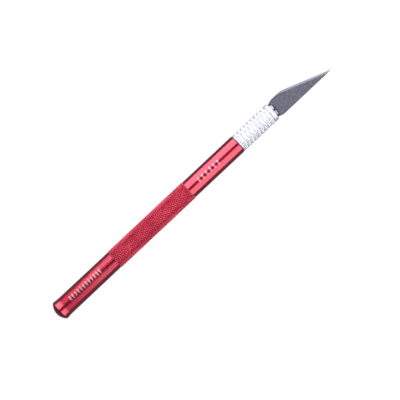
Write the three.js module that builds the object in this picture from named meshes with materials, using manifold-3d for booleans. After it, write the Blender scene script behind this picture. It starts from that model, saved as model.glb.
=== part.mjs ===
// Hobby craft knife: a turned aluminium handle whose screw-down collet grips a pointed blade.
//
// Millimetres. +X runs along the knife towards the blade's tip, +Z is up, and the cutting edge
// faces +Y. The knife lies on a surface at z = 0, and the origin is under the middle of its length.
// A station is a distance along the knife from the end of the butt.
//
// Turning the collar turns the collet's threaded shank in the barrel. As the collet is drawn in,
// the collar's coned mouth closes the four spring jaws on the blade.

import * as THREE from 'three';
import { mergeVertices } from 'three/addons/utils/BufferGeometryUtils.js';
import { ConvexGeometry } from 'three/addons/geometries/ConvexGeometry.js';
import Module from 'manifold-3d';

const wasm = await Module();
wasm.setup();

const FULL_TURN = Math.PI * 2;

// ---------------------------------------------------------------- driving dimensions

// Barrel: one turned bar.
const FLARE_DIAMETER = 8.3; // the widest part, at the butt
const FLARE_LAND = 0.5; // straight band of the flare
const DOME_HEIGHT = 1.84; // crown of the butt's end
const BUTT_TAPER = 2.9; // from the flare in to the rear section
const TAPER_HOLLOW = 0.25; // share of the flare's rise left halfway along the taper
const REAR_LENGTH = 26.0; // smooth rear section
const REAR_DIAMETER = 7.85; // beside the flare
const GRIP_LENGTH = 39.0; // knurled grip
const GRIP_DIAMETER = 8.1; // over the knurl's crests
const GRIP_BEVEL = 0.4; // run-out at each end of the knurl
const FRONT_LENGTH = 26.36; // smooth front section
const FRONT_DIAMETER = 7.75; // and of the rear section beside the grip
const FRONT_CHAMFER = 0.2;

// Screw thread between barrel and collet, right-handed.
const THREAD_DIAMETER = 5.0;
const THREAD_PITCH = 0.8;
const THREAD_DEPTH = 0.4;
const THREAD_CREST = 0.12; // flat on top of the thread
const THREAD_FLANK = THREE.MathUtils.degToRad(30);
const THREAD_CLEARANCE = 0.06;

// Bore of the barrel.
const SHANK_DEPTH = 9.0; // how far the collet reaches into the barrel
const SHANK_POINT = 0.5; // bevel on the end of the collet's shank
const RELIEF_LENGTH = 3.0; // plain neck between the thread and the counterbore
const RELIEF_DEPTH = 0.1; // neck below the root of the thread
const THREAD_RUNOUT = 0.5; // turns of plain root past the thread, before the neck
const DRILL_SPARE = 2.4; // drilled past the end of the shank
const DRILL_POINT = THREE.MathUtils.degToRad(59); // half angle of the drill's point
const COUNTERBORE_DEPTH = 1.2;
const COUNTERBORE_CLEARANCE = 0.2; // to the widest of the shank and the collet

// Collar: a ringed sleeve.
const FACE_GAP = 0.1; // between the barrel's front face and the collar
const COLLAR_LENGTH = 18.6;
const COLLAR_WALL = 1.2;
const COLLAR_REAR_CHAMFER = 0.25;
const COLLAR_FRONT_CHAMFER = 0.45;
const RING_PITCH = 1.75;
const RING_WIDTH = 0.75; // width of a groove
const RING_DEPTH = 0.32;
const FIRST_RING = 0.7; // from the collar's rear face to the first groove
const SEAT_HALF_ANGLE = THREE.MathUtils.degToRad(8); // cone that closes the jaws
const SEAT_RISE = 0.48; // cone's mouth beyond the bore, all round

// Collet: threaded shank and four spring jaws.
const COLLET_DIAMETER = 4.9;
const COLLET_CLEARANCE = 0.2; // collet to the collar's bore, all round
const SEAT_CLEARANCE = 0.03; // jaw cone to the collar's cone
const JAW_ROOT = 3.3; // from the collar's rear face to where the jaws spring from
const JAW_NECK_LENGTH = 3.0;
const JAW_NECK_DEPTH = 0.25; // thinned so that the jaws flex
const JAW_SHOULDER = 0.4; // slope from the neck to the body
const ROOT_GAP = 0.06; // between a jaw and the shank that it springs from
const NOSE_REACH = 1.6; // collet beyond the collar's front face
const NOSE_CHAMFER = 0.8;
const COLLET_HOLE = 1.8; // drilled down the middle
const COLLET_HOLE_REACH = 1.5; // into the shank, past the jaws' roots
const CROSS_SLOT = 0.5; // slot that stands upright, across the blade

// Blade: flat ground steel, flat side up.
const BLADE_THICKNESS = 0.5;
const BLADE_CLEARANCE = 0.02; // blade to the jaws, each side
const BLADE_WIDTH = 7.6;
const BLADE_REACH = 26.1; // tip beyond the collet's nose
const EDGE_ANGLE = THREE.MathUtils.degToRad(20.2); // cutting edge to the knife's axis
const TIP_RISE = 0.17; // tip above the line of the spine
const TIP_BACK = 2.2; // where the spine starts to rise to the tip
const BEVEL_WIDTH = 1.15; // ground strip along the cutting edge
const BEVEL_RUNOUT = 1.0; // slanted end of the strip, at the heel
const EDGE_THICKNESS = 0.05;
const TANG_END_GAP = 4.0; // end of the tang to the jaws' roots
const TANG_SIDE_GAP = 0.45; // tang to the collar's bore, each side
const TANG_CORNER = 0.5;
const TANG_SLOT_WIDTH = 1.6;
const TANG_SLOT_LENGTH = 6.0;
const NECK_OVERHANG = 0.1; // blade beyond the jaws where it leaves them, each side
const NECK_BACK = 0.9; // that place, behind the collet's nose
const NECK_TAPER = 2.5; // length over which the tang widens to the neck
const SHOULDER_LENGTH = 2.8; // from the neck to the full width
const SHOULDER_FULLNESS = 0.36; // 0 starts straight, 1 ends straight

// Facets.
const BARREL_SIDES = 40;
const SLEEVE_SIDES = 32;
const THREAD_SIDES = 16;
const DOME_STEPS = 5;
const SHOULDER_STEPS = 5;
const OVERCUT = 1.0; // how far a cutting solid runs past the metal

// ---------------------------------------------------------------- places worked out from them

const rearStart = DOME_HEIGHT + FLARE_LAND + BUTT_TAPER;
const gripStart = rearStart + REAR_LENGTH;
const gripEnd = gripStart + GRIP_LENGTH;
const barrelFront = gripEnd + FRONT_LENGTH;

const colletRadius = COLLET_DIAMETER / 2;
const collarBore = colletRadius + COLLET_CLEARANCE;
const collarRadius = collarBore + COLLAR_WALL;
const mouthRadius = collarBore + SEAT_RISE;
const collarRear = barrelFront + FACE_GAP;
const collarFront = collarRear + COLLAR_LENGTH;

const shankEnd = barrelFront - SHANK_DEPTH;
const threadStart = shankEnd + SHANK_POINT;
const counterboreStart = barrelFront - COUNTERBORE_DEPTH;
const counterboreRadius = Math.max(THREAD_DIAMETER / 2, colletRadius) + COUNTERBORE_CLEARANCE;
const threadRoom = counterboreStart - RELIEF_LENGTH - threadStart;
const threadTurns = Math.floor(threadRoom / THREAD_PITCH);
const threadRoot = THREAD_DIAMETER / 2 - THREAD_DEPTH;
const jawRoot = collarRear + JAW_ROOT;
const noseEnd = collarFront + NOSE_REACH;
const noseRadius = mouthRadius - SEAT_CLEARANCE;
const jawNeckRadius = colletRadius - JAW_NECK_DEPTH;

const bladeTip = noseEnd + BLADE_REACH;
const bladeSlot = BLADE_THICKNESS + 2 * BLADE_CLEARANCE;

// The knife lies on the lowest facet of its widest part.
const barrelRadius = Math.max(FLARE_DIAMETER, REAR_DIAMETER, GRIP_DIAMETER, FRONT_DIAMETER) / 2;
const axisHeight = Math.max(
  barrelRadius * Math.cos(Math.PI / BARREL_SIDES),
  collarRadius * Math.cos(Math.PI / SLEEVE_SIDES),
);
const middle = bladeTip / 2;

// ---------------------------------------------------------------- solids

// A closed solid from any geometry: corners merged, flat slivers at the poles dropped.
function solid(geometry) {
  for (const name of Object.keys(geometry.attributes)) {
    if (name !== 'position') geometry.deleteAttribute(name);
  }
  const merged = mergeVertices(geometry);
  const corners = merged.index.array;
  const triangles = [];
  for (let i = 0; i < corners.length; i += 3) {
    const [a, b, c] = corners.slice(i, i + 3);
    if (a !== b && b !== c && c !== a) triangles.push(a, b, c);
  }
  return new wasm.Manifold(new wasm.Mesh({
    numProp: 3,
    vertProperties: new Float32Array(merged.attributes.position.array),
    triVerts: new Uint32Array(triangles),
  }));
}

// Turned solid from [station, radius] points, taken from the butt forwards along the outside.
function turned(outline, sides) {
  const profile = outline.map(([station, radius]) => new THREE.Vector2(radius, station));
  const geometry = new THREE.LatheGeometry(profile, sides, Math.PI / sides);
  geometry.rotateZ(-Math.PI / 2);
  return solid(geometry);
}

// Block between two corners.
function block(low, high) {
  const size = high.map((value, i) => value - low[i]);
  const centre = high.map((value, i) => (value + low[i]) / 2);
  const geometry = new THREE.BoxGeometry(...size);
  geometry.translate(...centre);
  return solid(geometry);
}

// Helical ridge whose root and crest are at the given radii. Its flanks are moved out by widen.
function helicalRidge(rootRadius, crestRadius, start, turns, widen) {
  const crestHalf = THREAD_CREST / 2 + widen / Math.cos(THREAD_FLANK);
  const rootHalf = crestHalf + (crestRadius - rootRadius) * Math.tan(THREAD_FLANK);
  const section = [
    [-rootHalf, rootRadius - THREAD_DEPTH / 2],
    [-rootHalf, rootRadius],
    [-crestHalf, crestRadius],
    [crestHalf, crestRadius],
    [rootHalf, rootRadius],
    [rootHalf, rootRadius - THREAD_DEPTH / 2],
  ];
  const steps = Math.round(turns * THREAD_SIDES);
  const positions = [];
  const faces = [];
  const count = section.length;
  for (let i = 0; i <= steps; i++) {
    const angle = (i / THREAD_SIDES) * FULL_TURN;
    const shift = start + (i / THREAD_SIDES) * THREAD_PITCH;
    for (const [along, radius] of section) {
      positions.push(shift + along, radius * Math.cos(angle), radius * Math.sin(angle));
    }
    if (i === steps) break;
    for (let k = 0; k < count; k++) {
      const a = i * count + k;
      const b = i * count + ((k + 1) % count);
      faces.push(a, a + count, b, b, a + count, b + count);
    }
  }
  const last = steps * count;
  for (let k = 1; k < count - 1; k++) {
    faces.push(0, k, k + 1);
    faces.push(last, last + k + 1, last + k);
  }
  const geometry = new THREE.BufferGeometry();
  geometry.setAttribute('position', new THREE.Float32BufferAttribute(positions, 3));
  geometry.setIndex(faces);
  return solid(geometry);
}

// ---------------------------------------------------------------- barrel

function barrelOutline() {
  const outline = [];
  const flareRadius = FLARE_DIAMETER / 2;
  const domeRadius = (DOME_HEIGHT ** 2 + flareRadius ** 2) / (2 * DOME_HEIGHT);
  const rimAngle = Math.asin(flareRadius / domeRadius);
  for (let i = 0; i <= DOME_STEPS; i++) {
    const angle = (i / DOME_STEPS) * rimAngle;
    outline.push([domeRadius * (1 - Math.cos(angle)), domeRadius * Math.sin(angle)]);
  }
  const rearRadius = REAR_DIAMETER / 2;
  const gripRadius = GRIP_DIAMETER / 2;
  const frontRadius = FRONT_DIAMETER / 2;
  const flareEnd = DOME_HEIGHT + FLARE_LAND;
  outline.push([flareEnd, flareRadius]);
  // The taper is hollow, like the mouth of a trumpet.
  const hollowRadius = rearRadius + (flareRadius - rearRadius) * TAPER_HOLLOW;
  outline.push([flareEnd + BUTT_TAPER / 2, hollowRadius]);
  outline.push([rearStart, rearRadius]);
  outline.push([gripStart - GRIP_BEVEL, frontRadius]);
  outline.push([gripStart, gripRadius]);
  outline.push([gripEnd, gripRadius]);
  outline.push([gripEnd + GRIP_BEVEL, frontRadius]);
  outline.push([barrelFront - FRONT_CHAMFER, frontRadius]);
  outline.push([barrelFront, frontRadius - FRONT_CHAMFER]);
  outline.push([barrelFront, 0]);
  return outline;
}

function barrelBore() {
  const minorRadius = threadRoot + THREAD_CLEARANCE;
  const majorRadius = THREAD_DIAMETER / 2 + THREAD_CLEARANCE;
  const drillEnd = shankEnd - DRILL_SPARE;
  const drilled = turned([
    [drillEnd - minorRadius / Math.tan(DRILL_POINT), 0],
    [drillEnd, minorRadius],
    [barrelFront + OVERCUT, minorRadius],
    [barrelFront + OVERCUT, 0],
  ], THREAD_SIDES);
  const counterbore = turned([
    [counterboreStart, 0],
    [counterboreStart, counterboreRadius],
    [barrelFront + OVERCUT, counterboreRadius],
    [barrelFront + OVERCUT, 0],
  ], SLEEVE_SIDES);
  // The tapped thread starts one turn behind the collet's and runs out into the counterbore.
  const tapStart = threadStart - THREAD_PITCH;
  const tapTurns = Math.ceil((counterboreStart - tapStart) / THREAD_PITCH);
  const tapped = helicalRidge(minorRadius, majorRadius, tapStart, tapTurns, THREAD_CLEARANCE);
  return drilled.add(counterbore).add(tapped);
}

function barrel() {
  return turned(barrelOutline(), BARREL_SIDES).subtract(barrelBore());
}

// ---------------------------------------------------------------- collar

function collar() {
  const outline = [
    [collarRear, collarBore],
    [collarRear, collarRadius - COLLAR_REAR_CHAMFER],
    [collarRear + COLLAR_REAR_CHAMFER, collarRadius],
  ];
  const lastRing = collarFront - COLLAR_FRONT_CHAMFER - RING_WIDTH;
  for (let at = collarRear + FIRST_RING; at <= lastRing; at += RING_PITCH) {
    outline.push([at - RING_WIDTH / 2, collarRadius]);
    outline.push([at, collarRadius - RING_DEPTH]);
    outline.push([at + RING_WIDTH / 2, collarRadius]);
  }
  outline.push([collarFront - COLLAR_FRONT_CHAMFER, collarRadius]);
  outline.push([collarFront, collarRadius - COLLAR_FRONT_CHAMFER]);
  outline.push([collarFront, mouthRadius]);
  outline.push([collarFront - SEAT_RISE / Math.tan(SEAT_HALF_ANGLE), collarBore]);
  outline.push([collarRear, collarBore]);
  return turned(outline, SLEEVE_SIDES);
}

// ---------------------------------------------------------------- collet

function colletShank() {
  const threadEnd = threadStart + (threadTurns + THREAD_RUNOUT) * THREAD_PITCH;
  const reliefRadius = threadRoot - RELIEF_DEPTH;
  const bodyStart = counterboreStart + COLLET_CLEARANCE;
  const holeEnd = jawRoot - COLLET_HOLE_REACH;
  const holeRadius = COLLET_HOLE / 2;
  const core = turned([
    [shankEnd, 0],
    [shankEnd, threadRoot - SHANK_POINT / 2],
    [shankEnd + SHANK_POINT / 2, threadRoot],
    [threadEnd, threadRoot],
    [threadEnd + RELIEF_DEPTH, reliefRadius],
    [bodyStart, reliefRadius],
    [bodyStart + JAW_SHOULDER, colletRadius],
    [jawRoot - JAW_SHOULDER, colletRadius],
    [jawRoot, jawNeckRadius],
    [jawRoot, holeRadius],
    [holeEnd, holeRadius],
    [holeEnd - holeRadius / Math.tan(DRILL_POINT), 0],
  ], THREAD_SIDES);
  return core.add(helicalRidge(threadRoot, THREAD_DIAMETER / 2, threadStart, threadTurns, 0));
}

// Everything that the four jaws are cut from: a tapered sleeve in front of the shank.
function jawSleeve() {
  const holeRadius = COLLET_HOLE / 2;
  const rear = jawRoot + ROOT_GAP;
  const neckEnd = jawRoot + JAW_NECK_LENGTH;
  const coneRise = noseRadius - colletRadius;
  const coneStart = collarFront - coneRise / Math.tan(SEAT_HALF_ANGLE);
  return turned([
    [rear, holeRadius],
    [rear, jawNeckRadius],
    [neckEnd, jawNeckRadius],
    [neckEnd + JAW_SHOULDER, colletRadius],
    [coneStart, colletRadius],
    [collarFront, noseRadius],
    [noseEnd - NOSE_CHAMFER, noseRadius],
    [noseEnd, noseRadius - NOSE_CHAMFER],
    [noseEnd, holeRadius],
    [rear, holeRadius],
  ], SLEEVE_SIDES);
}

// One jaw: the quarter of the sleeve on the given side of both slots.
function jaw(sideY, sideZ) {
  const reach = noseRadius + OVERCUT;
  const nearY = (sideY * CROSS_SLOT) / 2;
  const nearZ = (sideZ * bladeSlot) / 2;
  const farY = sideY * reach;
  const farZ = sideZ * reach;
  const low = [jawRoot - OVERCUT, Math.min(nearY, farY), Math.min(nearZ, farZ)];
  const high = [noseEnd + OVERCUT, Math.max(nearY, farY), Math.max(nearZ, farZ)];
  return jawSleeve().intersect(block(low, high));
}

// ---------------------------------------------------------------- blade

const spineY = -BLADE_WIDTH / 2;
const topY = BLADE_WIDTH / 2;
const tipY = spineY + TIP_RISE;
const heelStation = bladeTip - (topY - tipY) / Math.tan(EDGE_ANGLE);

function bladeOutline() {
  const tangEnd = jawRoot + TANG_END_GAP;
  const tangHalf = collarBore - TANG_SIDE_GAP;
  const neckHalf = noseRadius + NECK_OVERHANG;
  const neck = noseEnd - NECK_BACK;
  const shoulderEnd = neck + SHOULDER_LENGTH;
  const slotHalf = TANG_SLOT_WIDTH / 2;
  const slotCentre = tangEnd + TANG_SLOT_LENGTH - slotHalf;
  const bulge = neck + SHOULDER_LENGTH * SHOULDER_FULLNESS;
  const shape = new THREE.Shape();
  shape.moveTo(tangEnd, -slotHalf);
  shape.lineTo(tangEnd, -tangHalf + TANG_CORNER);
  shape.lineTo(tangEnd + TANG_CORNER, -tangHalf);
  shape.lineTo(neck - NECK_TAPER, -tangHalf);
  shape.lineTo(neck, -neckHalf);
  shape.quadraticCurveTo(bulge, spineY, shoulderEnd, spineY);
  shape.lineTo(bladeTip - TIP_BACK, spineY);
  shape.lineTo(bladeTip, tipY);
  shape.lineTo(heelStation, topY);
  shape.lineTo(shoulderEnd, topY);
  shape.quadraticCurveTo(bulge, topY, neck, neckHalf);
  shape.lineTo(neck - NECK_TAPER, tangHalf);
  shape.lineTo(tangEnd + TANG_CORNER, tangHalf);
  shape.lineTo(tangEnd, tangHalf - TANG_CORNER);
  shape.lineTo(tangEnd, slotHalf);
  shape.absarc(slotCentre, 0, slotHalf, Math.PI / 2, -Math.PI / 2, true);
  shape.closePath();
  return shape;
}

// Wedge ground away along the cutting edge on one face of the blade. Within it, along runs from
// the heel towards the tip, inwards runs from the edge into the blade, and up leaves the face.
function bevelCut(side) {
  const depth = (BLADE_THICKNESS - EDGE_THICKNESS) / 2;
  const edgeLength = (topY - tipY) / Math.sin(EDGE_ANGLE);
  const far = edgeLength + OVERCUT;
  const slope = depth / BEVEL_WIDTH;
  const place = (along, inwards, up) => new THREE.Vector3(
    heelStation + along * Math.cos(EDGE_ANGLE) - inwards * Math.sin(EDGE_ANGLE),
    topY - along * Math.sin(EDGE_ANGLE) - inwards * Math.cos(EDGE_ANGLE),
    side * (BLADE_THICKNESS / 2 + up),
  );
  // The strip's slanted end runs from the heel, at the edge, to BEVEL_RUNOUT further forward.
  const outside = -OVERCUT;
  const inside = BEVEL_WIDTH + OVERCUT / slope;
  const slant = (inwards) => (BEVEL_RUNOUT * inwards) / BEVEL_WIDTH;
  return solid(new ConvexGeometry([
    place(slant(outside), outside, -depth + slope * outside),
    place(slant(inside), inside, OVERCUT),
    place(slant(outside) - BEVEL_RUNOUT, outside, OVERCUT),
    place(far, outside, -depth + slope * outside),
    place(far, inside, OVERCUT),
    place(far, outside, OVERCUT),
  ]));
}

function blade() {
  const plate = new THREE.ExtrudeGeometry(bladeOutline(), {
    depth: BLADE_THICKNESS,
    bevelEnabled: false,
    curveSegments: SHOULDER_STEPS,
  });
  plate.translate(0, 0, -BLADE_THICKNESS / 2);
  return solid(plate).subtract(bevelCut(1)).subtract(bevelCut(-1));
}

// ---------------------------------------------------------------- assembly

function finish(color, roughness) {
  return new THREE.MeshStandardMaterial({ color, roughness, metalness: 1 });
}

function piece(name, manifold, material) {
  const { vertProperties, triVerts } = manifold.getMesh();
  const geometry = new THREE.BufferGeometry();
  geometry.setAttribute('position', new THREE.BufferAttribute(vertProperties, 3));
  geometry.setIndex(new THREE.BufferAttribute(triVerts, 1));
  geometry.computeVertexNormals();
  const mesh = new THREE.Mesh(geometry, material);
  mesh.name = name;
  return mesh;
}

const RED_ANODISED = 0xc2213a;
const BRIGHT_ALUMINIUM = 0xe4e4e8;
const TURNED_STEEL = 0xc4c4c8;
const BLADE_STEEL = 0x74747f;

const knife = new THREE.Group();
knife.position.set(-middle, 0, axisHeight);

knife.add(piece('barrel', barrel(), finish(RED_ANODISED, 0.35)));
knife.add(piece('collar', collar(), finish(BRIGHT_ALUMINIUM, 0.3)));
knife.add(piece('collet_shank', colletShank(), finish(TURNED_STEEL, 0.35)));

const JAW_SIDES = [[1, 1], [-1, 1], [-1, -1], [1, -1]];
JAW_SIDES.forEach(([sideY, sideZ], i) => {
  knife.add(piece(`collet_jaw_${i + 1}`, jaw(sideY, sideZ), finish(TURNED_STEEL, 0.35)));
});

knife.add(piece('blade', blade(), finish(BLADE_STEEL, 0.4)));

const craftKnife = new THREE.Group();
craftKnife.add(knife);

export default craftKnife;
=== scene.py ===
import math

import bpy
import numpy as np
from bpy.props import FloatProperty, FloatVectorProperty, IntProperty, PointerProperty
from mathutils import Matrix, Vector


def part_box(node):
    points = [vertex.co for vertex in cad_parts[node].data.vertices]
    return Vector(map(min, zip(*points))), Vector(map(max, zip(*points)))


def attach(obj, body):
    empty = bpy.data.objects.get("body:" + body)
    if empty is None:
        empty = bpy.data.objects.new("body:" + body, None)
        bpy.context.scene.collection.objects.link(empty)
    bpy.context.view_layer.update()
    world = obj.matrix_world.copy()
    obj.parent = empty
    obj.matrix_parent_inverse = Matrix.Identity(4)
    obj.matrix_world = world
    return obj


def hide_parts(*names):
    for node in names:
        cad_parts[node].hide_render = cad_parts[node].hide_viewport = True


bl_info = {
    "name": "Craft Knife",
    "version": (1, 0, 0),
    "blender": (4, 5, 0),
    "location": "3D View > Sidebar > Craft Knife",
    "description": "Models the fine surfaces of a craft knife round its engineering solids",
    "category": "Add Mesh",
}

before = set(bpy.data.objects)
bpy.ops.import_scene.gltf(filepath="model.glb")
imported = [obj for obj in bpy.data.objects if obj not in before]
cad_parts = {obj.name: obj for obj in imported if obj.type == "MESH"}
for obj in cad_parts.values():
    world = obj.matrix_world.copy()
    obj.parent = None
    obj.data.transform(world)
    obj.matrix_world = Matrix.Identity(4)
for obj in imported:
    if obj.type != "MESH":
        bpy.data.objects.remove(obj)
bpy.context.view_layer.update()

MM = 0.001
FULL_TURN = 2 * math.pi
MERGE_DISTANCE = 0.002 * MM  # points this close are one point
TOLERANCE = 0.005 * MM  # for finding points and faces by their place

# Places that the frame gives. The knife lies along +X, with the blade's tip in front.
BUTT_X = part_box("barrel")[0].x
BARREL_FRONT_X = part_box("barrel")[1].x
COLLAR_REAR_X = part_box("collar")[0].x
COLLAR_FRONT_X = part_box("collar")[1].x
JAW_REAR_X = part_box("collet_jaw_1")[0].x
NOSE_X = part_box("collet_jaw_1")[1].x
SHANK_END_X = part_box("collet_shank")[0].x
BLADE_LOW, BLADE_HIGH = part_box("blade")
AXIS_Z = (BLADE_LOW.z + BLADE_HIGH.z) / 2
AXIS = Vector((0, 0, AXIS_Z))


def linear(hex_colour):
    """Linear RGBA of an sRGB colour written as "#RRGGBB"."""
    channels = [int(hex_colour[i:i + 2], 16) / 255 for i in (1, 3, 5)]
    return [c / 12.92 if c <= 0.04045 else ((c + 0.055) / 1.055) ** 2.4 for c in channels] + [1.0]


def length(name, millimetres, description):
    """A length that a user may change."""
    return FloatProperty(
        name=name, description=description, default=millimetres * MM,
        min=0, precision=5, subtype="DISTANCE", unit="LENGTH",
    )


def angle(name, degrees, description):
    """An angle that a user may change."""
    return FloatProperty(
        name=name, description=description, default=math.radians(degrees),
        subtype="ANGLE", unit="ROTATION",
    )


def colour(name, hex_colour, description):
    """A colour that a user may change."""
    return FloatVectorProperty(
        name=name, description=description, default=linear(hex_colour),
        size=4, min=0, max=1, subtype="COLOR",
    )


# ---------------------------------------------------------------- sizes and colours

class CRAFTKNIFE_PG_handle(bpy.types.PropertyGroup):
    """Sizes of the barrel, which is one turned bar"""

    flare_diameter: length("Flare diameter", 2 * AXIS_Z / MM, "Widest part, on which the butt lies")
    flare_land: length("Flare land", 0.5, "Straight band of the flare")
    flare_rounding: length("Flare rounding", 0.3, "Rounded rim between the dome and the flare")
    dome_height: length("Dome height", 1.84, "Crown of the butt's end")
    butt_taper: length("Butt taper", 2.9, "From the flare in to the rear section")
    rear_length: length("Rear length", 26.0, "Smooth section behind the grip")
    rear_diameter: length("Rear diameter", 7.85, "Beside the flare")
    front_diameter: length("Front diameter", 7.75, "Smooth section in front of the grip")
    front_chamfer: length("Front chamfer", 0.2, "On the front face's rim")
    grip_length: length("Grip length", 39.0, "Knurled section")
    grip_diameter: length("Grip diameter", 8.1, "Over the knurl's crests")
    grip_bevel: length("Grip bevel", 0.4, "Run-out at each end of the knurl")
    knurl_depth: length("Knurl depth", 0.27, "Crest to groove")
    knurl_starts: IntProperty(
        name="Knurl starts", description="Grooves round the grip, each way", default=28, min=8,
    )
    knurl_angle: angle("Knurl angle", 30, "Grooves to the knife's axis")
    counterbore_diameter: length("Counterbore diameter", 5.4, "Mouth of the bore")
    counterbore_depth: length("Counterbore depth", 1.2, "Mouth of the bore")
    counterbore_rounding: length("Counterbore rounding", 0.1, "Rim of the bore's mouth")
    bore_diameter: length("Bore diameter", 5.12, "Over the tapped thread")
    bore_spare: length("Bore spare", 2.4, "Drilled past the end of the collet's shank")
    drill_point: angle("Drill point", 59, "Half angle of the drill's point")


class CRAFTKNIFE_PG_collar(bpy.types.PropertyGroup):
    """Sizes of the ringed collar"""

    diameter: length("Diameter", 7.7, "Over the ribs")
    bore: length("Bore", 5.3, "Round the collet")
    mouth: length("Mouth", 6.26, "Wide end of the cone that closes the jaws")
    seat_angle: angle("Seat angle", 8, "Half angle of the cone")
    rear_chamfer: length("Rear chamfer", 0.25, "Beside the barrel")
    front_chamfer: length("Front chamfer", 0.45, "Beside the jaws")
    front_rounding: length("Front rounding", 0.12, "Rim behind the front chamfer")
    mouth_rounding: length("Mouth rounding", 0.06, "Rim of the cone's wide end")
    first_ring: length("First ring", 0.7, "Rear face to the middle of the first groove")
    ring_pitch: length("Ring pitch", 1.75, "Groove to groove")
    ring_depth: length("Ring depth", 0.18, "Depth of a groove")
    rings: IntProperty(name="Rings", description="Grooves along the collar", default=10, min=1)
    knurl_starts: IntProperty(
        name="Knurl starts", description="Fine grooves round the ribs, each way", default=48, min=8,
    )
    knurl_depth: length("Knurl depth", 0.12, "Depth of the fine grooves on the ribs")


class CRAFTKNIFE_PG_collet(bpy.types.PropertyGroup):
    """Sizes of the collet's four spring jaws"""

    diameter: length("Diameter", 4.9, "Body of the jaws")
    neck_diameter: length("Neck diameter", 4.4, "Thinned so that the jaws flex")
    neck_length: length("Neck length", 2.94, "From the root of the jaws")
    shoulder: length("Shoulder", 0.4, "Slope from the neck to the body")
    nose_diameter: length("Nose diameter", 6.2, "Wide end, in the collar's mouth")
    nose_chamfer: length("Nose chamfer", 0.8, "On the end of the nose")
    seat_angle: angle("Seat angle", 8, "Half angle of the cone under the collar")
    hole: length("Hole", 1.8, "Drilled down the middle")
    cross_slot: length("Cross slot", 0.5, "Slot that stands upright, across the blade")
    blade_slot: length("Blade slot", 0.54, "Slot that takes the blade")
    edge_rounding: length("Edge rounding", 0.06, "Deburred edges")


class CRAFTKNIFE_PG_blade(bpy.types.PropertyGroup):
    """Sizes of the blade"""

    edge_angle: angle("Edge angle", 20.2, "Cutting edge to the knife's axis")
    edge_thickness: length("Edge thickness", 0.05, "Along the cutting edge")
    bevel_width: length("Bevel width", 0.8, "Ground strip along the cutting edge")
    bevel_runout: length("Bevel run-out", 0.9, "Where the grinding fades out behind the heel")
    tip_rise: length("Tip rise", 0.17, "Tip above the line of the spine")
    tip_back: length("Tip back", 2.2, "Where the spine starts to rise to the tip")
    neck_half: length("Neck half width", 3.2, "Where the blade leaves the jaws")
    neck_back: length("Neck back", 0.9, "That place, behind the collet's nose")
    neck_taper: length("Neck taper", 2.5, "Length over which the tang widens")
    shoulder_length: length("Shoulder length", 2.8, "From the neck to the full width")
    tang_half: length("Tang half width", 2.2, "Part between the jaws")
    tang_corner: length("Tang corner", 0.5, "Cut corners at the tang's end")
    slot_width: length("Slot width", 1.6, "Open slot in the tang's end")
    slot_length: length("Slot length", 6.0, "Open slot in the tang's end")


class CRAFTKNIFE_PG_finish(bpy.types.PropertyGroup):
    """Colours of the metals and of the printed marks"""

    red_dye: colour("Red dye", "#A31A36", "Dyed anodic film over turned aluminium")
    knurl_dye: colour("Knurl dye", "#A82740", "Dyed anodic film over the knurl")
    bright_metal: colour("Bright metal", "#D0D0D8", "Clear anodised aluminium")
    # A steel grey, darkened further as painted shade for the gap between the collar and the blade, where
    # the jaws' nose shows.
    collet_steel_with_painted_shade: colour("Collet steel", "#7C7C86", "Turned free-cutting steel")
    blade_steel: colour("Blade steel", "#767684", "Hardened carbon steel strip")
    # Painted shade: darker than the blade's steel, so that the softbox's reflection in the bevel is
    # dimmed.
    ground_steel_with_painted_shade: colour("Ground steel", "#5C5C65", "Fresh from the grinding wheel")
    mark_ink: colour("Mark ink", "#C8AAB0", "Printed bars")


class CRAFTKNIFE_PG_stage(bpy.types.PropertyGroup):
    """Camera, lights and floor"""

    camera_turn: angle("Camera turn", -43.18, "Turn of the picture's width from the knife")
    camera_x: FloatProperty(
        name="Camera X", description="Along the knife", default=-0.56 * MM, unit="LENGTH",
    )
    camera_y: FloatProperty(
        name="Camera Y", description="Across the knife", default=-5.83 * MM, unit="LENGTH",
    )
    view_width: length("View width", 155.64, "Width that the picture takes in at the knife's axis")
    lens: FloatProperty(
        name="Lens", description="Focal length in millimetres", default=100, unit="CAMERA",
    )
    softbox_distance: length("Softbox distance", 620, "From the knife to each softbox")
    softbox_power: FloatProperty(
        name="Softbox power", description="Watts for each square metre of a softbox", default=9, min=0,
    )
    softbox_length: length("Softbox length", 1300, "Along the knife")
    softbox_x: length("Softbox X", 520, "Middle of the softboxes, towards the blade's tip")
    floor_size: length("Floor size", 4000, "Side of the square floor")
    floor_colour: colour("Floor colour", "#4A4A4A", "Opal acrylic with its light off")
    floor_light: colour("Floor light", "#FFFFFF", "Light that comes up through the acrylic")
    floor_glow: FloatProperty(
        name="Floor glow", description="Strength of the light through the acrylic", default=0.92, min=0,
    )
    room_colour: colour("Room colour", "#7E7E82", "Walls of the room, seen in the metal")
    overhead_colour: colour("Overhead colour", "#4A4A4E", "Dark gap between the softboxes")
    ground_colour: colour("Ground colour", "#FAFAFA", "Beyond the floor, for the camera alone")


SETTINGS = {
    "handle": CRAFTKNIFE_PG_handle,
    "collar": CRAFTKNIFE_PG_collar,
    "collet": CRAFTKNIFE_PG_collet,
    "blade": CRAFTKNIFE_PG_blade,
    "finish": CRAFTKNIFE_PG_finish,
    "stage": CRAFTKNIFE_PG_stage,
}


def settings(group):
    """The scene's settings of one group."""
    return getattr(bpy.context.scene, f"craft_knife_{group}")


# ---------------------------------------------------------------- modelling

def deselect():
    """Leaves edit mode with nothing selected."""
    if bpy.context.mode != "OBJECT":
        bpy.ops.object.mode_set(mode="OBJECT")
    bpy.ops.object.select_all(action="DESELECT")


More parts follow.
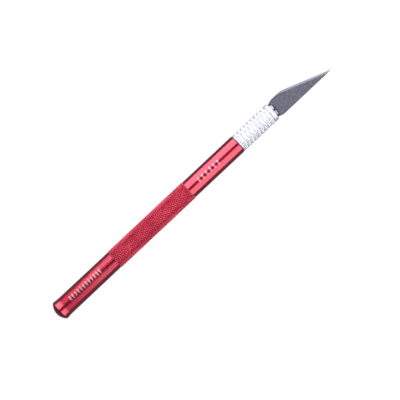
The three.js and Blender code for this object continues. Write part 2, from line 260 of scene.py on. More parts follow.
def draw(name, points):
    """A new piece that is a chain of edges through points, drawn by extruding one vertex.

    It stays in edit mode.
    """
    deselect()
    bpy.ops.mesh.primitive_plane_add(size=MM)
    piece = bpy.context.object
    piece.name = piece.data.name = name
    bpy.ops.object.mode_set(mode="EDIT")
    bpy.ops.mesh.select_mode(type="VERT")
    bpy.ops.mesh.merge(type="CENTER")
    bpy.ops.transform.translate(value=points[0])
    for start, end in zip(points, points[1:]):
        step = Vector(end) - Vector(start)
        bpy.ops.mesh.extrude_vertices_move(TRANSFORM_OT_translate={"value": step})
    return piece


def profile(outline):
    """Points in the plane above the knife's axis, from (x, radius) pairs."""
    return [Vector((x, 0, AXIS_Z + radius)) for x, radius in outline]


def pick(piece, test, faces=False):
    """Selects what passes the test, by its place, in edit mode.

    The test gets arrays of x, y from the axis, z from the axis and radius, and for faces their
    normals too.
    """
    bpy.ops.object.mode_set(mode="OBJECT")
    mesh = piece.data
    kind = mesh.polygons if faces else mesh.vertices
    places = np.empty(len(kind) * 3, np.float32)
    kind.foreach_get("center" if faces else "co", places)
    x, y, z = places.reshape(-1, 3).astype(float).T
    z = z - AXIS_Z
    radius = np.hypot(y, z)
    if faces:
        normals = np.empty(len(kind) * 3, np.float32)
        kind.foreach_get("normal", normals)
        chosen = test(x, y, z, radius, normals.reshape(-1, 3))
    else:
        chosen = test(x, y, z, radius)
    for collection in (mesh.vertices, mesh.edges, mesh.polygons):
        collection.foreach_set("select", np.zeros(len(collection), bool))
    kind.foreach_set("select", chosen)
    bpy.ops.object.mode_set(mode="EDIT")
    bpy.ops.mesh.select_mode(type="FACE" if faces else "VERT")


def close_up():
    """Merges doubled points and turns every face outwards. The piece is in edit mode."""
    bpy.ops.mesh.select_mode(type="VERT")
    bpy.ops.mesh.select_all(action="SELECT")
    bpy.ops.mesh.remove_doubles(threshold=MERGE_DISTANCE)
    bpy.ops.mesh.select_all(action="SELECT")
    bpy.ops.mesh.normals_make_consistent(inside=False)


def turn(steps):
    """Spins the drawn profile round the knife's axis into a closed solid."""
    bpy.ops.mesh.select_all(action="SELECT")
    bpy.ops.mesh.spin(steps=steps, angle=FULL_TURN, center=AXIS, axis=(1, 0, 0))
    close_up()


def round_ring(piece, x, radius, rounding, segments=3):
    """Rounds the ring of edges at one place along a turned piece."""
    def on_ring(px, py, pz, pr):
        return (abs(px - x) < TOLERANCE) & (abs(pr - radius) < TOLERANCE)

    pick(piece, on_ring)
    bpy.ops.mesh.bevel(offset=rounding, segments=segments, affect="EDGES")


def triangle_wave(value):
    """1 at whole numbers, 0 halfway between them."""
    return 2 * abs(value - np.floor(value) - 0.5)


def knurl(piece, inside, start_x, pitch, starts, depth, land):
    """Sinks diamond grooves into the rows of points that pass the test.

    pitch is a diamond's length along the knife. A diamond is flat on top where the height is above
    the land's share of the depth. The points' rows and columns fall on whole steps of the pattern.
    """
    def height(x, y, z):
        around = starts * np.arctan2(z, y) / FULL_TURN
        along = (x - start_x) / pitch
        waves = np.minimum(triangle_wave(around + along), triangle_wave(around - along))
        return np.minimum(waves / land, 1)

    bpy.ops.object.mode_set(mode="OBJECT")
    places = np.empty(len(piece.data.vertices) * 3, np.float32)
    piece.data.vertices.foreach_get("co", places)
    x, y, z = places.reshape(-1, 3).astype(float).T
    z = z - AXIS_Z
    knurled = inside(x, y, z, np.hypot(y, z))
    crest = np.hypot(y, z)[knurled].max()
    levels = np.round(height(x, y, z), 2)
    for level in sorted(set(levels[knurled]) - {1.0}):
        pick(piece, lambda px, py, pz, pr, wanted=level: knurled & (levels == wanted))
        share = (crest - depth * (1 - level)) / crest
        bpy.ops.transform.resize(value=(1, share, share), center_override=AXIS)


def finish_piece(piece, body, materials, smooth_angle=30):
    """Leaves the piece shaded, with its materials, riding on its body."""
    deselect()
    bpy.context.view_layer.objects.active = piece
    piece.select_set(True)
    bpy.ops.object.shade_smooth_by_angle(angle=math.radians(smooth_angle))
    for material in materials:
        if material.name not in piece.data.materials:
            piece.data.materials.append(material)
    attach(piece, body)
    return piece


def coat_faces(piece, test, slot):
    """Gives the faces that pass the test the material in that slot."""
    deselect()
    bpy.context.view_layer.objects.active = piece
    pick(piece, test, faces=True)
    piece.active_material_index = slot
    bpy.ops.object.material_slot_assign()
    deselect()


def round_edges(piece, width, segments=2, limit=40):
    """Rounds every sharp edge with a bevel that is applied."""
    deselect()
    bpy.context.view_layer.objects.active = piece
    piece.select_set(True)
    bpy.ops.object.modifier_add(type="BEVEL")
    bevel = piece.modifiers[-1]
    bevel.width = width
    bevel.segments = segments
    bevel.limit_method = "ANGLE"
    bevel.angle_limit = math.radians(limit)
    bpy.ops.object.modifier_apply(modifier=bevel.name)


# ---------------------------------------------------------------- materials

def node(tree, kind, inputs=None, **values):
    """Adds a shader node. inputs gives its sockets, each a value or another node's output."""
    made = tree.nodes.new(kind)
    for name, value in values.items():
        setattr(made, name, value)
    for name, value in (inputs or {}).items():
        socket = made.inputs[name]
        if isinstance(value, bpy.types.NodeSocket):
            tree.links.new(value, socket)
        else:
            socket.default_value = value
    return made


def new_material(name):
    """A material, its node tree, its shader and the object's own coordinates in metres."""
    material = bpy.data.materials.new(name)
    material.use_nodes = True
    tree = material.node_tree
    place = node(tree, "ShaderNodeTexCoord").outputs["Object"]
    return material, tree, tree.nodes["Principled BSDF"], place


def mottle(tree, place, size, low, high, detail=3.0, stretch=(1, 1, 1)):
    """Clouds of the given size that run from low to high, drawn out where stretch is above 1."""
    mapped = node(
        tree, "ShaderNodeMapping", {"Vector": place, "Scale": [1 / (size * s) for s in stretch]},
    )
    cloud = node(
        tree, "ShaderNodeTexNoise", {"Vector": mapped.outputs[0], "Scale": 1.0, "Detail": detail},
    )
    spread = node(
        tree, "ShaderNodeMapRange",
        {"Value": cloud.outputs["Fac"], "From Min": 0.3, "From Max": 0.7, "To Min": low, "To Max": high},
    )
    return spread.outputs[0]


def turning_marks(tree, place, spacing, low, high, detail=2.0):
    """Fine rings round the knife's axis that run from low to high, as a lathe's tool leaves them."""
    along = node(tree, "ShaderNodeSeparateXYZ", {0: place}).outputs["X"]
    scaled = node(tree, "ShaderNodeMath", {0: along, 1: 1 / spacing}, operation="MULTIPLY")
    rings = node(
        tree, "ShaderNodeTexNoise", {"W": scaled.outputs[0], "Scale": 1.0, "Detail": detail},
        noise_dimensions="1D",
    )
    spread = node(
        tree, "ShaderNodeMapRange",
        {"Value": rings.outputs["Fac"], "From Min": 0.3, "From Max": 0.7, "To Min": low, "To Max": high},
    )
    return spread.outputs[0]


def solid_metal(tree, shader, base, tones, relief, height, strength):
    """Makes the shader a metal of the base colour all over.

    Each tone in turn makes it lighter and darker, and the relief stands out of the surface by up
    to the given height.
    """
    toned = base[:3]
    for tone in tones:
        toned = node(
            tree, "ShaderNodeVectorMath", {0: toned, "Scale": tone}, operation="SCALE",
        ).outputs[0]
    tree.links.new(toned, shader.inputs["Base Color"])
    shader.inputs["Metallic"].default_value = 1.0
    bump = node(
        tree, "ShaderNodeBump", {"Height": relief, "Strength": strength, "Distance": height},
    )
    tree.links.new(bump.outputs[0], shader.inputs["Normal"])


def printed_row(tree, place, start, pitch, count, long, wide, offset, edge):
    """Strength of a row of bars printed across the knife's upper side, from 0 to 1.

    edge is the width over which a bar's rim fades.
    """
    x, y, z = node(tree, "ShaderNodeSeparateXYZ", {0: place}).outputs
    run = node(tree, "ShaderNodeMath", {0: x, 1: start}, operation="SUBTRACT")
    number = node(tree, "ShaderNodeMath", {0: run.outputs[0], 1: pitch}, operation="DIVIDE")
    share = node(tree, "ShaderNodeMath", {0: number.outputs[0]}, operation="FRACT")
    centred = node(tree, "ShaderNodeMath", {0: share.outputs[0], 1: 0.5}, operation="SUBTRACT")
    along = node(tree, "ShaderNodeMath", {0: centred.outputs[0], 1: pitch}, operation="MULTIPLY")
    across = node(tree, "ShaderNodeMath", {0: y, 1: offset}, operation="SUBTRACT")
    spot = node(tree, "ShaderNodeCombineXYZ", {0: along.outputs[0], 1: across.outputs[0]})
    size = node(tree, "ShaderNodeVectorMath", {0: spot.outputs[0]}, operation="ABSOLUTE")
    sides = node(tree, "ShaderNodeSeparateXYZ", {0: size.outputs[0]}).outputs
    beyond = [
        node(tree, "ShaderNodeMath", {0: side, 1: half}, operation="SUBTRACT")
        for side, half in ((sides["X"], long / 2), (sides["Y"], wide / 2))
    ]
    ends = [
        node(tree, "ShaderNodeMath", {0: number.outputs[0], 1: 0.0}, operation="GREATER_THAN"),
        node(tree, "ShaderNodeMath", {0: number.outputs[0], 1: float(count)}, operation="LESS_THAN"),
        node(tree, "ShaderNodeMath", {0: z, 1: AXIS_Z}, operation="GREATER_THAN"),
    ]
    faded = [
        node(
            tree, "ShaderNodeMapRange",
            {"Value": past.outputs[0], "From Min": edge / 2, "From Max": -edge / 2},
        )
        for past in beyond
    ]
    strength = 1.0
    for mask in ends + faded:
        strength = node(
            tree, "ShaderNodeMath", {0: strength, 1: mask.outputs[0]}, operation="MULTIPLY",
        ).outputs[0]
    return strength


def red_anodised_aluminium():
    """Turned aluminium bar under a dyed anodic film.

    The eye gets a deep metallic red, a sharper clear gleam from the film, and faint rings from the
    lathe. White ink bars are printed on the upper side.
    """
    material, tree, shader, place = new_material("dyed_anodised_turned_aluminium")
    finish, handle = settings("finish"), settings("handle")
    # A lathe's feed of about 0.06 mm is too fine to show, so the rings are 0.3 mm apart.
    rings = turning_marks(tree, place, 0.3 * MM, 0.93, 1.07)
    # The dye takes a little unevenly, in patches as wide as the bar and longer than wide.
    clouds = mottle(tree, place, 9 * MM, 0.94, 1.06, stretch=(2, 1, 1))
    ringed = node(
        tree, "ShaderNodeVectorMath", {0: finish.red_dye[:3], "Scale": rings}, operation="SCALE",
    )
    dyed = node(
        tree, "ShaderNodeVectorMath", {0: ringed.outputs[0], "Scale": clouds}, operation="SCALE",
    )
    rear = BUTT_X + handle.dome_height + handle.flare_land
    front = BARREL_FRONT_X
    # Each row: its start, the bars' pitch and count, and their length, width and offset.
    rows = (
        (rear + 5.5 * MM, 1.4 * MM, 12, 0.6 * MM, 2.0 * MM, 0.7 * MM),
        (front - 21.6 * MM, 2.0 * MM, 6, 0.7 * MM, 1.9 * MM, 0.1 * MM),
    )
    ink_fade = 0.3 * MM
    # The ink is thin in places, where the film shows through.
    cover = mottle(tree, place, 0.5 * MM, 0.35, 0.8)
    printed = 0.0
    for row in rows:
        printed = node(
            tree, "ShaderNodeMath", {0: printed, 1: printed_row(tree, place, *row, ink_fade)},
            operation="ADD",
        ).outputs[0]
    ink = node(tree, "ShaderNodeMath", {0: printed, 1: cover}, operation="MULTIPLY").outputs[0]
    base = node(
        tree, "ShaderNodeMix", {"Factor": ink, "A": dyed.outputs[0], "B": list(finish.mark_ink)},
        data_type="RGBA",
    )
    metal = node(tree, "ShaderNodeMath", {0: 1.0, 1: ink}, operation="SUBTRACT")
    tree.links.new(base.outputs["Result"], shader.inputs["Base Color"])
    tree.links.new(metal.outputs[0], shader.inputs["Metallic"])
    satin = mottle(tree, place, 9 * MM, 0.3, 0.36, stretch=(2, 1, 1))
    tree.links.new(satin, shader.inputs["Roughness"])
    shader.inputs["Coat Weight"].default_value = 1.0
    shader.inputs["Coat Roughness"].default_value = 0.14
    bump = node(
        tree, "ShaderNodeBump", {"Height": rings, "Strength": 0.12, "Distance": 0.01 * MM},
    )
    tree.links.new(bump.outputs[0], shader.inputs["Normal"])
    return material


def red_knurled_aluminium():
    """Rolled knurl under a dyed anodic film.

    The eye gets a dull mid red, because the rolled flanks are rough and scatter the light, with
    small gleams on the crests.
    """
    material, tree, shader, place = new_material("dyed_anodised_knurled_aluminium")
    # The rolled metal's grain is about 0.05 mm, drawn at 0.3 mm so that it shows.
    grain = mottle(tree, place, 0.3 * MM, 0.88, 1.12)
    solid_metal(tree, shader, settings("finish").knurl_dye, [grain], grain, 0.02 * MM, 0.2)
    tree.links.new(mottle(tree, place, 0.3 * MM, 0.5, 0.6), shader.inputs["Roughness"])
    shader.inputs["Coat Weight"].default_value = 0.4
    shader.inputs["Coat Roughness"].default_value = 0.3
    return material


def bright_anodised_aluminium():
    """Knurled aluminium, blasted and clear anodised.

    The eye gets a nearly white satin metal whose fine grain scatters the light.
    """
    material, tree, shader, place = new_material("blasted_clear_anodised_aluminium")
    # Blasting grit leaves pits of about 0.05 mm, drawn at 0.25 mm so that they show.
    pits = mottle(tree, place, 0.25 * MM, 0.9, 1.02, detail=4.0)
    clouds = mottle(tree, place, 3 * MM, 0.95, 1.0)
    bright = settings("finish").bright_metal
    solid_metal(tree, shader, bright, [pits, clouds], pits, 0.03 * MM, 0.3)
    satin = mottle(tree, place, 0.25 * MM, 0.58, 0.68, detail=4.0)
    tree.links.new(satin, shader.inputs["Roughness"])
    return material


def turned_steel():
    """Free-cutting steel, turned and slotted.

    The eye gets a grey metal with fine rings from the tool and a slightly uneven gloss. Its grey is
    also darkened as painted shade for the gap between the collar and the blade, where the nose shows.
    """
    material, tree, shader, place = new_material("turned_free_cutting_steel")
    # A feed of about 0.05 mm, drawn at 0.2 mm so that it shows.
    rings = turning_marks(tree, place, 0.2 * MM, 0.85, 1.08, detail=3.0)
    # The steel's grey is darkened partly as painted shade for the gap in front of the collar.
    solid_metal(tree, shader, settings("finish").collet_steel_with_painted_shade, [rings], rings, 0.01 * MM, 0.3)
    tree.links.new(mottle(tree, place, 2 * MM, 0.26, 0.38), shader.inputs["Roughness"])
    return material


def blade_strip_steel():
    """Cold-rolled carbon steel strip, hardened and tempered.

    The eye gets a dark violet grey that the hardening has mottled, with fine lines from the
    rolling.
    """
    material, tree, shader, place = new_material("hardened_carbon_steel_strip")
    # The mottling is under 0.1 mm across, drawn at 0.7 mm so that it shows.
    clouds = mottle(tree, place, 0.7 * MM, 0.75, 1.25, detail=2.0)
    # Rolling lines are a few hundredths of a millimetre wide, drawn at 0.15 mm so that they show.
    lines = mottle(tree, place, 0.15 * MM, 0.96, 1.04, stretch=(30, 1, 1))
    strip = settings("finish").blade_steel
    solid_metal(tree, shader, strip, [clouds, lines], lines, 0.01 * MM, 0.1)
    satin = mottle(tree, place, 0.6 * MM, 0.36, 0.38, detail=2.0)
    tree.links.new(satin, shader.inputs["Roughness"])
    return material


def ground_bevel_steel():
    """The blade's bevel, ground on a wheel.

    The eye gets a bright strip with scratches across it, square to the cutting edge. Its steel
    is painted darker than the blade's: painted shade that dims the softbox's reflection in the bevel.
    """
    material, tree, shader, place = new_material("wheel_ground_carbon_steel")
    turned = node(
        tree, "ShaderNodeVectorRotate",
        {"Vector": place, "Axis": (0, 0, 1), "Angle": settings("blade").edge_angle},
        rotation_type="AXIS_ANGLE",
    ).outputs[0]
    # Scratches of about 0.02 mm, drawn at 0.12 mm so that they show.
    scratches = mottle(tree, turned, 0.12 * MM, 0.88, 1.08, stretch=(1, 20, 1))
    # Darker than the blade's steel: painted shade that dims the softbox's reflection in the bevel.
    ground = settings("finish").ground_steel_with_painted_shade
    solid_metal(tree, shader, ground, [scratches], scratches, 0.01 * MM, 0.2)
    gloss = mottle(tree, turned, 0.12 * MM, 0.25, 0.35, stretch=(1, 20, 1))
    tree.links.new(gloss, shader.inputs["Roughness"])
    return material


def lit_acrylic_panel():
    """Opal acrylic with a matt face, lit from below.

    The eye gets a plain pale ground with no gleam and hardly any shadow.
    """
    material, tree, shader, place = new_material("lit_opal_acrylic_panel")
    stage = settings("stage")
    grain = mottle(tree, place, 2 * MM, 0.98, 1.0)
    base = node(
        tree, "ShaderNodeVectorMath", {0: stage.floor_colour[:3], "Scale": grain}, operation="SCALE",
    )
    tree.links.new(base.outputs[0], shader.inputs["Base Color"])
    shader.inputs["Roughness"].default_value = 0.9
    shader.inputs["Emission Color"].default_value = stage.floor_light
    shader.inputs["Emission Strength"].default_value = stage.floor_glow
    return material


# ---------------------------------------------------------------- pieces

class CRAFTKNIFE_OT_handle(bpy.types.Operator):
    """Turn, knurl and bore the barrel"""

    bl_idname = "craft_knife.handle"
    bl_label = "Knurled Barrel"

    columns_per_diamond = 8
    knurl_land = 0.75  # the share of the depth above which a diamond is flat
    dome_steps = 12
    taper_steps = 8

    def outside(self, s):
        flare_radius = s.flare_diameter / 2
        dome_radius = (s.dome_height ** 2 + flare_radius ** 2) / (2 * s.dome_height)
        rim_angle = math.asin(flare_radius / dome_radius)
        points = []
        for i in range(self.dome_steps + 1):
            turned = rim_angle * i / self.dome_steps
            x = BUTT_X + dome_radius * (1 - math.cos(turned))
            points.append((x, dome_radius * math.sin(turned)))
        flare_end = BUTT_X + s.dome_height + s.flare_land
        rear_radius = s.rear_diameter / 2
        for i in range(self.taper_steps + 1):
            share = i / self.taper_steps
            rise = (flare_radius - rear_radius) * (1 - share) ** 2
            points.append((flare_end + s.butt_taper * share, rear_radius + rise))
        grip_start, grip_end = self.grip(s)
        front_radius = s.front_diameter / 2
        grip_radius = s.grip_diameter / 2
        points.append((grip_start - s.grip_bevel, front_radius))
        points.append((grip_start, grip_radius))
        points.append((grip_end, grip_radius))
        points.append((grip_end + s.grip_bevel, front_radius))
        points.append((BARREL_FRONT_X - s.front_chamfer, front_radius))
        points.append((BARREL_FRONT_X, front_radius - s.front_chamfer))
        return points

    def bore(self, s):
        mouth_radius = s.counterbore_diameter / 2
        bore_radius = s.bore_diameter / 2
        step_x = BARREL_FRONT_X - s.counterbore_depth
        drill_end = SHANK_END_X - s.bore_spare
        return [
            (BARREL_FRONT_X, mouth_radius),
            (step_x, mouth_radius),
            (step_x, bore_radius),
            (drill_end, bore_radius),
            (drill_end - bore_radius / math.tan(s.drill_point), 0),
        ]

    def grip(self, s):
        start = BUTT_X + s.dome_height + s.flare_land + s.butt_taper + s.rear_length
        return start, start + s.grip_length

    def execute(self, context):
        s = settings("handle")
        grip_start, grip_end = self.grip(s)
        grip_radius = s.grip_diameter / 2
        pitch = math.pi * s.grip_diameter / s.knurl_starts / math.tan(s.knurl_angle)
        rows = round(s.grip_length / pitch * self.columns_per_diamond)
        pitch = s.grip_length / rows * self.columns_per_diamond
        piece = draw("knurled_barrel", profile(self.outside(s) + self.bore(s)))

        def grip_ends(x, y, z, r):
            ends = (abs(x - grip_start) < TOLERANCE) | (abs(x - grip_end) < TOLERANCE)
            return ends & (abs(r - grip_radius) < TOLERANCE)

        pick(piece, grip_ends)
        bpy.ops.mesh.subdivide(number_cuts=rows - 1)
        turn(s.knurl_starts * self.columns_per_diamond)

        def on_grip(x, y, z, r):
            along = (x > grip_start - TOLERANCE) & (x < grip_end + TOLERANCE)
            return along & (r > grip_radius - TOLERANCE)

        knurl(piece, on_grip, grip_start, pitch, s.knurl_starts, s.knurl_depth, self.knurl_land)
        flare_x = BUTT_X + s.dome_height
        mouth_radius = s.counterbore_diameter / 2
        round_ring(piece, flare_x, s.flare_diameter / 2, s.flare_rounding, segments=4)
        round_ring(piece, BARREL_FRONT_X, mouth_radius, s.counterbore_rounding, segments=2)

        bpy.ops.mesh.select_all(action="SELECT")
        bpy.ops.mesh.quads_convert_to_tris(quad_method="SHORTEST_DIAGONAL")
        metals = [red_anodised_aluminium(), red_knurled_aluminium()]
        finish_piece(piece, "barrel", metals, smooth_angle=20)

        def knurled(x, y, z, r, normals):
            return (x > grip_start) & (x < grip_end) & (r > s.bore_diameter / 2 + MM)

        coat_faces(piece, knurled, 1)
        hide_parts("barrel")
        return {"FINISHED"}


class CRAFTKNIFE_OT_collar(bpy.types.Operator):
    """Turn, groove and knurl the collar"""

    bl_idname = "craft_knife.collar"
    bl_label = "Ringed Collar"

    rows_per_ring = 8
    groove_rows = 2  # on each side of a groove's middle
    columns_per_diamond = 4

    def outline(self, s):
        radius = s.diameter / 2
        bore = s.bore / 2
        mouth = s.mouth / 2
        seat_length = (mouth - bore) / math.tan(s.seat_angle)
        row = s.ring_pitch / self.rows_per_ring
        first = COLLAR_REAR_X + s.first_ring
        # Rows of a groove with their shares of its depth. All other rows are on a rib.
        groove = {-1: 0.72, 0: 1.0, 1: 0.72}
        points = [(COLLAR_REAR_X, bore), (COLLAR_REAR_X, radius - s.rear_chamfer)]
        points.append((COLLAR_REAR_X + s.rear_chamfer, radius))
        for ring in range(s.rings):
            last = ring == s.rings - 1
            rows = self.groove_rows + 1 if last else self.rows_per_ring - self.groove_rows
            for place in range(-self.groove_rows, rows):
                x = first + ring * s.ring_pitch + place * row
                points.append((x, radius - s.ring_depth * groove.get(place, 0.0)))
        points.append((COLLAR_FRONT_X - s.front_chamfer, radius))
        points.append((COLLAR_FRONT_X, radius - s.front_chamfer))
        points.append((COLLAR_FRONT_X, mouth))
        points.append((COLLAR_FRONT_X - seat_length, bore))
        points.append((COLLAR_REAR_X, bore))
        return points

    def execute(self, context):
        s = settings("collar")
        radius = s.diameter / 2
        piece = draw("ringed_collar", profile(self.outline(s)))
        turn(s.knurl_starts * self.columns_per_diamond)
        groove_half = s.ring_pitch * self.groove_rows / self.rows_per_ring
        first_rib = COLLAR_REAR_X + s.first_ring + groove_half
        last_rib = first_rib + (s.rings - 1) * s.ring_pitch - 2 * groove_half

        def on_ribs(x, y, z, r):
            along = (x > first_rib - TOLERANCE) & (x < last_rib + TOLERANCE)
            return along & (r > radius - TOLERANCE)

        knurl(piece, on_ribs, first_rib, s.ring_pitch / 2, s.knurl_starts, s.knurl_depth, land=1.0)
        round_ring(piece, COLLAR_FRONT_X - s.front_chamfer, radius, s.front_rounding)
        round_ring(piece, COLLAR_FRONT_X, s.mouth / 2, s.mouth_rounding, segments=2)
        bpy.ops.mesh.select_all(action="SELECT")
        bpy.ops.mesh.quads_convert_to_tris(quad_method="SHORTEST_DIAGONAL")
        metals = [bright_anodised_aluminium()]
        finish_piece(piece, "collar", metals, smooth_angle=24)
        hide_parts("collar")
        return {"FINISHED"}


class CRAFTKNIFE_OT_collet(bpy.types.Operator):
    """Turn one collet jaw, slit it, mirror it three times and finish the shank"""

    bl_idname = "craft_knife.collet"
    bl_label = "Collet"

    steps = 96
    # The jaws that are copied, each with the sides of the knife that it is mirrored to.
    mirrored = {2: (-1, 1), 3: (-1, -1), 4: (1, -1)}

    def outline(self, s):
        hole = s.hole / 2
        neck = s.neck_diameter / 2
        body = s.diameter / 2
        nose = s.nose_diameter / 2
        neck_end = JAW_REAR_X + s.neck_length
        cone_start = COLLAR_FRONT_X - (nose - body) / math.tan(s.seat_angle)
        return [
            (JAW_REAR_X, hole),
            (JAW_REAR_X, neck),
            (neck_end, neck),
            (neck_end + s.shoulder, body),
            (cone_start, body),
            (COLLAR_FRONT_X, nose),
            (NOSE_X - s.nose_chamfer, nose),
            (NOSE_X, nose - s.nose_chamfer),
            (NOSE_X, hole),
            (JAW_REAR_X, hole),
        ]

    def execute(self, context):
        s = settings("collet")
        steel = turned_steel()
        jaw = draw("collet_jaw_1_turned", profile(self.outline(s)))
        turn(self.steps)
        for distance, normal in ((s.cross_slot / 2, (0, 1, 0)), (s.blade_slot / 2, (0, 0, 1))):
            bpy.ops.mesh.select_all(action="SELECT")
            bpy.ops.mesh.bisect(
                plane_co=AXIS + Vector(normal) * distance, plane_no=normal,
                use_fill=True, clear_inner=True, threshold=MERGE_DISTANCE,
            )
        close_up()
        round_edges(jaw, s.edge_rounding)
        bpy.ops.object.mode_set(mode="EDIT")
        close_up()
        bpy.ops.mesh.dissolve_degenerate(threshold=MERGE_DISTANCE)
        jaws = [jaw]
        for number, (side_y, side_z) in self.mirrored.items():
            deselect()
            bpy.context.view_layer.objects.active = jaw
            jaw.select_set(True)
            bpy.ops.object.duplicate(linked=False)
            copy = bpy.context.object
            copy.name = copy.data.name = f"collet_jaw_{number}_turned"
            bpy.ops.object.mode_set(mode="EDIT")
            bpy.ops.mesh.select_all(action="SELECT")
            bpy.ops.transform.resize(value=(1, side_y, side_z), center_override=AXIS)
            bpy.ops.mesh.normals_make_consistent(inside=False)
            jaws.append(copy)
        for number, piece in enumerate(jaws, 1):
            finish_piece(piece, f"jaw_{number}", [steel])
            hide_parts(f"collet_jaw_{number}")
        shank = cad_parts["collet_shank"]
        shank.data.materials.clear()
        shank.data.materials.append(steel)
        return {"FINISHED"}


class CRAFTKNIFE_OT_blade(bpy.types.Operator):
    """Stamp the blade's outline and grind its bevels"""

    bl_idname = "craft_knife.blade"
    bl_label = "Blade"

    shoulder_steps = 12
    slot_steps = 10
    shoulder_fullness = 0.36  # 0 starts straight, 1 ends straight

    def shoulder(self, s, side):
        """Points from the neck to the full width, along a quadratic curve."""
        half = BLADE_HIGH.y
        neck = Vector((NOSE_X - s.neck_back, side * s.neck_half))
        end = Vector((neck.x + s.shoulder_length, side * half))
        bulge = Vector((neck.x + s.shoulder_length * self.shoulder_fullness, side * half))
        points = []
        for i in range(self.shoulder_steps + 1):
            t = i / self.shoulder_steps
            points.append(neck * (1 - t) ** 2 + bulge * 2 * t * (1 - t) + end * t ** 2)
        return points

    def outline(self, s):
        tang_x = BLADE_LOW.x
        spine_y = BLADE_LOW.y
        tip_x = BLADE_HIGH.x
        tip_y = spine_y + s.tip_rise
        neck_x = NOSE_X - s.neck_back
        slot_half = s.slot_width / 2
        slot_centre = tang_x + s.slot_length - slot_half
        half_tang = [
            (tang_x, slot_half),
            (tang_x, s.tang_half - s.tang_corner),
            (tang_x + s.tang_corner, s.tang_half),
            (neck_x - s.neck_taper, s.tang_half),
        ]
        points = [Vector((x, -y)) for x, y in half_tang]
        points += self.shoulder(s, -1)
        points += [Vector((tip_x - s.tip_back, spine_y)), Vector((tip_x, tip_y))]
        points += [Vector((self.heel_x(s), BLADE_HIGH.y))]
        points += reversed(self.shoulder(s, 1))
        points += [Vector((x, y)) for x, y in reversed(half_tang)]
        for i in range(self.slot_steps + 1):
            turned = math.pi / 2 - math.pi * i / self.slot_steps
            x = slot_centre + slot_half * math.cos(turned)
            points.append(Vector((x, slot_half * math.sin(turned))))
        return points

    def heel_x(self, s):
        tip_y = BLADE_LOW.y + s.tip_rise
        return BLADE_HIGH.x - (BLADE_HIGH.y - tip_y) / math.tan(s.edge_angle)

    def execute(self, context):
        s = settings("blade")
        thickness = BLADE_HIGH.z - BLADE_LOW.z
        points = [Vector((p.x, p.y, BLADE_LOW.z)) for p in self.outline(s)]
        piece = draw("ground_blade", points + points[:1])
        bpy.ops.mesh.select_all(action="SELECT")
        bpy.ops.mesh.remove_doubles(threshold=MERGE_DISTANCE)
        bpy.ops.mesh.edge_face_add()
        bpy.ops.mesh.extrude_region_move(TRANSFORM_OT_translate={"value": (0, 0, thickness)})
        bpy.ops.mesh.select_all(action="SELECT")
        bpy.ops.mesh.normals_make_consistent(inside=False)

        # The bevel's inner line, and the slanted line where the grinding fades out at the heel.
        along = Vector((math.cos(s.edge_angle), -math.sin(s.edge_angle), 0))
        inwards = Vector((-math.sin(s.edge_angle), -math.cos(s.edge_angle), 0))
        heel = Vector((self.heel_x(s), BLADE_HIGH.y, 0))
        inner = heel + inwards * s.bevel_width
        fade_start = heel - Vector((s.bevel_runout, 0, 0))
        fade_end = inner + along * s.bevel_runout
        fade = (fade_end - fade_start).cross(Vector((0, 0, 1)))
        for place, normal in ((inner, inwards), (fade_start, fade)):
            bpy.ops.mesh.select_all(action="SELECT")
            bpy.ops.mesh.bisect(plane_co=place, plane_no=normal, threshold=MERGE_DISTANCE)

        # Points on the ground strip sink to the bevel, on both faces at once.
        half = thickness / 2
        edge_half = s.edge_thickness / 2
        tip_back = Vector((BLADE_HIGH.x - s.tip_back, BLADE_LOW.y, 0))
        tip = Vector((BLADE_HIGH.x, BLADE_LOW.y + s.tip_rise, 0))
        for point in (heel, tip_back, tip):
            distance = (point - heel).dot(inwards)
            share = (edge_half + (half - edge_half) * distance / s.bevel_width) / half

            def at_point(x, y, z, r, point=point):
                return np.hypot(x - point.x, y - point.y) < TOLERANCE

            pick(piece, at_point)
            bpy.ops.transform.resize(value=(1, 1, share), center_override=AXIS)

        metals = [blade_strip_steel(), ground_bevel_steel()]
        finish_piece(piece, "blade", metals, smooth_angle=5)
        # The bevels lean away from the flats, and both are far from the upright sides.
        leaning = math.cos(math.atan((half - edge_half) / s.bevel_width) / 2)
        upright = 0.5

        def ground(x, y, z, r, normals):
            facing = abs(normals[:, 2])
            return (facing < leaning) & (facing > upright)

        coat_faces(piece, ground, 1)
        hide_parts("blade")
        return {"FINISHED"}


# ---------------------------------------------------------------- stage

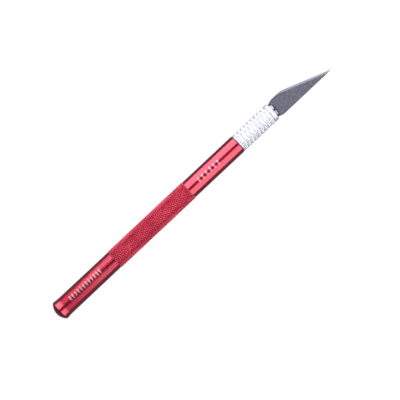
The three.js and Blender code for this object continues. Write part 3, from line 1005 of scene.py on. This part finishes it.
class CRAFTKNIFE_OT_stage(bpy.types.Operator):
    """Set up the floor, the lights and the camera"""

    bl_idname = "craft_knife.stage"
    bl_label = "Stage"

    # Each softbox: its side of the knife, its near and far edges in degrees from the zenith, and its
    # power as a multiple of the setting.
    softboxes = ((1, 16, 88, 1.5), (-1, 16, 81, 1.08))
    # Heights on the unit sphere between which the room turns to the dark gap overhead.
    gap_start = 0.75
    gap_full = 0.95
    sensor_width = 36.0

    def floor(self, s):
        deselect()
        bpy.ops.mesh.primitive_plane_add(size=s.floor_size)
        piece = bpy.context.object
        piece.name = piece.data.name = "floor"
        piece.visible_glossy = False
        piece.data.materials.append(lit_acrylic_panel())

    def light(self, s, side, near, far, share):
        middle = math.radians(near + far) / 2
        width = 2 * s.softbox_distance * math.tan(math.radians(far - near) / 2)
        outwards = Vector((0, side * math.sin(middle), math.cos(middle)))
        place = AXIS + s.softbox_distance * outwards + Vector((s.softbox_x, 0, 0))
        deselect()
        bpy.ops.object.light_add(type="AREA", location=place, rotation=(-side * middle, 0, 0))
        lamp = bpy.context.object
        lamp.name = f"softbox_{'edge' if side > 0 else 'spine'}_side"
        lamp.data.shape = "RECTANGLE"
        lamp.data.size = s.softbox_length
        lamp.data.size_y = width
        lamp.data.energy = share * s.softbox_power * width * s.softbox_length
        lamp.visible_camera = False

    def world(self, s):
        """A dim room, darker overhead, and a white ground for the camera alone."""
        world = bpy.data.worlds.new("dim_studio")
        bpy.context.scene.world = world
        world.use_nodes = True
        tree = world.node_tree
        direction = node(tree, "ShaderNodeTexCoord").outputs["Generated"]
        height = node(tree, "ShaderNodeSeparateXYZ", {0: direction}).outputs["Z"]
        overhead = node(
            tree, "ShaderNodeMapRange",
            {"Value": height, "From Min": self.gap_start, "From Max": self.gap_full},
        )
        room = node(
            tree, "ShaderNodeMix",
            {"Factor": overhead.outputs[0], "A": s.room_colour, "B": s.overhead_colour},
            data_type="RGBA",
        )
        seen = node(tree, "ShaderNodeLightPath").outputs["Is Camera Ray"]
        shown = node(
            tree, "ShaderNodeMix",
            {"Factor": seen, "A": room.outputs["Result"], "B": s.ground_colour}, data_type="RGBA",
        )
        tree.links.new(shown.outputs["Result"], tree.nodes["Background"].inputs["Color"])

    def camera(self, s):
        height = s.view_width * s.lens / self.sensor_width
        deselect()
        bpy.ops.object.camera_add(
            location=(s.camera_x, s.camera_y, AXIS_Z + height), rotation=(0, 0, s.camera_turn),
        )
        camera = bpy.context.object
        camera.data.lens = s.lens
        camera.data.sensor_width = self.sensor_width
        bpy.context.scene.camera = camera

    def execute(self, context):
        s = settings("stage")
        self.camera(s)
        self.floor(s)
        for softbox in self.softboxes:
            self.light(s, *softbox)
        self.world(s)
        context.scene.view_settings.view_transform = "Standard"
        return {"FINISHED"}


# ---------------------------------------------------------------- add-on

OPERATORS = (
    CRAFTKNIFE_OT_stage,
    CRAFTKNIFE_OT_handle,
    CRAFTKNIFE_OT_collar,
    CRAFTKNIFE_OT_collet,
    CRAFTKNIFE_OT_blade,
)


class CRAFTKNIFE_PT_pieces(bpy.types.Panel):
    """The knife's pieces in the order that they are made"""

    bl_idname = "CRAFTKNIFE_PT_pieces"
    bl_label = "Craft Knife"
    bl_space_type = "VIEW_3D"
    bl_region_type = "UI"
    bl_category = "Craft Knife"

    def draw(self, context):
        for operator in OPERATORS:
            self.layout.operator(operator.bl_idname)


def register():
    for name, group in SETTINGS.items():
        bpy.utils.register_class(group)
        setattr(bpy.types.Scene, f"craft_knife_{name}", PointerProperty(type=group))
    for made in (*OPERATORS, CRAFTKNIFE_PT_pieces):
        bpy.utils.register_class(made)


def unregister():
    for made in reversed((*OPERATORS, CRAFTKNIFE_PT_pieces)):
        bpy.utils.unregister_class(made)
    for name, group in reversed(SETTINGS.items()):
        delattr(bpy.types.Scene, f"craft_knife_{name}")
        bpy.utils.unregister_class(group)


def main():
    register()
    for operator in OPERATORS:
        module, name = operator.bl_idname.split(".")
        getattr(getattr(bpy.ops, module), name)()


if __name__ == "__main__":
    main()
